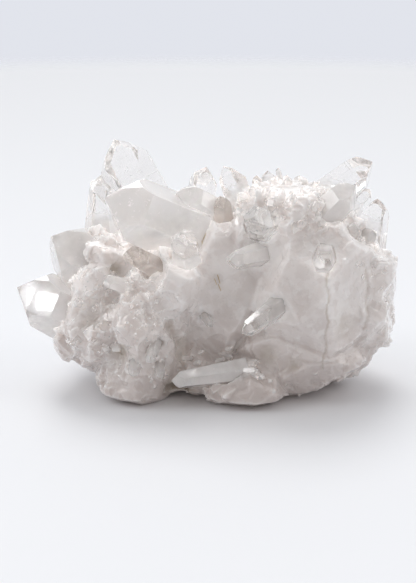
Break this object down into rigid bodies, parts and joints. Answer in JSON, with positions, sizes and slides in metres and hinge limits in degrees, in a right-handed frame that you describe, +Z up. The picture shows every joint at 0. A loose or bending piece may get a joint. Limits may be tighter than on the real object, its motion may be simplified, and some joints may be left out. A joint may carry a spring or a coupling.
{
  "type": "quartz crystal cluster",
  "caption": "Hand-sized natural cluster of clear, milky and smoky six-sided quartz crystals standing out of an uneven milky quartz mass with a flat underside.",
  "frame": {"origin": "middle of the box round the cluster, on the surface that it rests on", "axes": "+X along the longest side, -Y towards the front, +Z up"},
  "size_m": [0.1, 0.0614, 0.0633],
  "materials": {
    "quartz_matrix": "milky, translucent, finely broken and drusy",
    "clear_quartz": "clear, glossy natural faces, cloudy towards the root",
    "milky_quartz": "milky, half clear, glossy natural faces",
    "smoky_quartz": "pale smoky brown, clear, glossy natural faces"
  },
  "bodies": {
    "root": {"quartz_matrix": "quartz_matrix", "tall_clear_crystal": "clear_quartz", "left_column_crystal": "clear_quartz", "spur_crystal": "clear_quartz", "barrel_crystal": "milky_quartz", "twin_crystal": "milky_quartz", "stubby_crystal": "clear_quartz", "smoky_tip_crystal": "smoky_quartz", "left_great_crystal": "milky_quartz", "left_shoulder_crystal": "milky_quartz", "centre_clear_crystal": "clear_quartz", "centre_smoky_crystal": "smoky_quartz", "blade_crystal": "clear_quartz", "facing_crystal": "clear_quartz", "brown_tip_crystal": "smoky_quartz", "mound_block_crystal": "clear_quartz", "needle_crystal": "clear_quartz", "mound_crystal_1": "clear_quartz", "mound_crystal_2": "clear_quartz", "mound_crystal_3": "clear_quartz", "right_tall_crystal": "clear_quartz", "right_milky_crystal": "milky_quartz", "right_small_crystal": "clear_quartz", "far_right_crystal": "clear_quartz", "right_glassy_crystal_1": "clear_quartz", "right_glassy_crystal_2": "clear_quartz", "front_block_crystal": "clear_quartz", "front_right_crystal": "clear_quartz", "front_chip_crystal": "clear_quartz", "front_left_crystal_1": "clear_quartz", "front_left_crystal_2": "clear_quartz", "front_left_crystal_3": "clear_quartz", "bottom_blade_crystal": "milky_quartz", "ledge_crystal": "milky_quartz", "left_ledge_crystal": "milky_quartz", "back_great_crystal": "clear_quartz", "back_left_crystal_1": "milky_quartz", "back_left_crystal_2": "clear_quartz", "back_middle_crystal_1": "clear_quartz", "back_middle_crystal_2": "clear_quartz", "back_right_crystal_1": "clear_quartz", "back_right_crystal_2": "milky_quartz", "back_right_crystal_3": "clear_quartz", "back_low_crystal_1": "clear_quartz", "back_low_crystal_2": "milky_quartz", "back_smoky_crystal": "smoky_quartz"}
  },
  "joints": []
}
